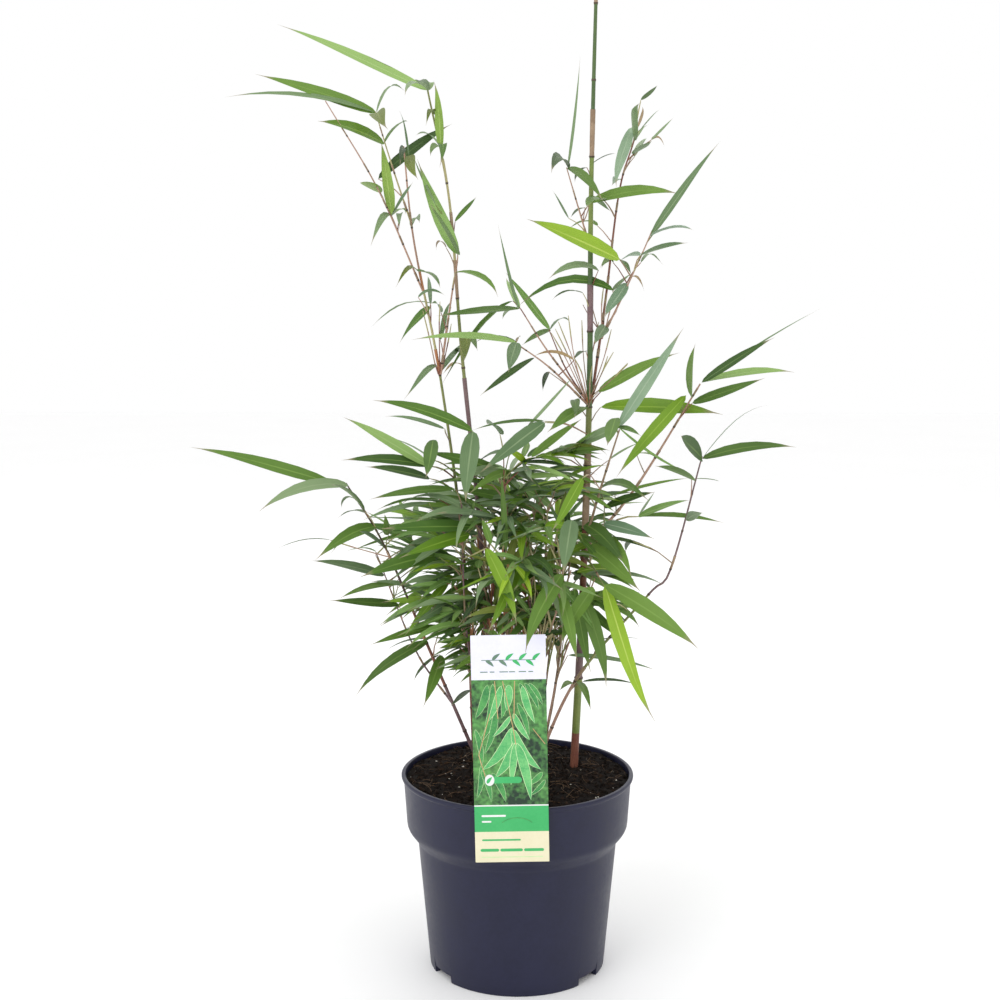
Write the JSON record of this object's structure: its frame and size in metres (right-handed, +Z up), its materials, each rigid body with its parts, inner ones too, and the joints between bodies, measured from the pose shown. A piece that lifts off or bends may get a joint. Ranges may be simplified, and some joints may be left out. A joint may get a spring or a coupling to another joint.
{
  "type": "potted bamboo",
  "caption": "Young clump of slender bamboo with narrow pointed leaves in a round tapered nursery pot, with a plant label hooked on the rim.",
  "frame": {"origin": "middle of the pot's flat underside, on the surface it stands on", "axes": "+Z up along the tall cane, +X to the plant's right, and -Y is the front, where the label hangs"},
  "size_m": [0.4891, 0.342, 0.9341],
  "materials": {
    "pot": "satin dark blue-grey moulded plastic",
    "soil": "moist dark peat compost with fibres and a few white grains",
    "label": "printed thin plastic sheet",
    "cane": "smooth green cane with dark joints and dry tan sheaths",
    "twig": "thin red-brown side branches",
    "leaf": "satin green leaves, paler and greyer below"
  },
  "bodies": {
    "root": {"pot": "pot", "soil": "soil", "label": "label", "cane_tall": "cane", "cane_left": "cane", "cane_left_thin": "cane", "cane_left_leaning": "cane", "cane_right_leaning": "cane", "leaves_centre": "leaf", "leaves_left_middle": "leaf", "leaves_left_low": "leaf", "leaves_right_middle": "leaf", "leaves_right_low": "leaf", "leaves_front": "leaf", "leaves_back": "leaf", "leaves_back_left": "leaf", "leaves_back_right": "leaf", "spray_tip_tall": "leaf", "spray_tall_high": "leaf", "spray_left_tip": "leaf", "spray_left_upper": "leaf", "spray_outer_tip": "leaf", "spray_shoot": "leaf", "spray_left_fork": "leaf", "spray_left_pair": "leaf", "spray_left_node": "leaf", "spray_fan_high": "leaf", "spray_fan_back": "leaf", "spray_arch": "leaf", "spray_right_inner": "leaf", "spray_right_tip": "leaf", "spray_right_upper": "leaf", "spray_right_wing": "leaf", "spray_fan_node": "leaf", "spray_right_small": "leaf", "spray_right_far": "leaf", "spray_right_outer": "leaf", "spray_right_side": "leaf", "spray_right_drooping": "leaf", "spray_far_left": "leaf", "spray_left_out": "leaf", "spray_left_drooping": "leaf", "bough_right_middle": "twig", "bough_right_short": "twig", "bough_right_low": "twig", "bough_fan_low": "twig", "bough_fan_high": "twig", "bough_fan_back": "twig", "bough_fan_right": "twig", "bough_wing": "twig", "bough_tall_upper": "twig", "bough_left_inner": "twig", "bough_left_outer": "twig", "bough_left_top": "twig", "bough_left_low": "twig", "cane_clump_1": "cane", "cane_clump_2": "cane", "cane_clump_3": "cane", "cane_clump_4": "cane", "cane_clump_5": "cane"}
  },
  "joints": []
}
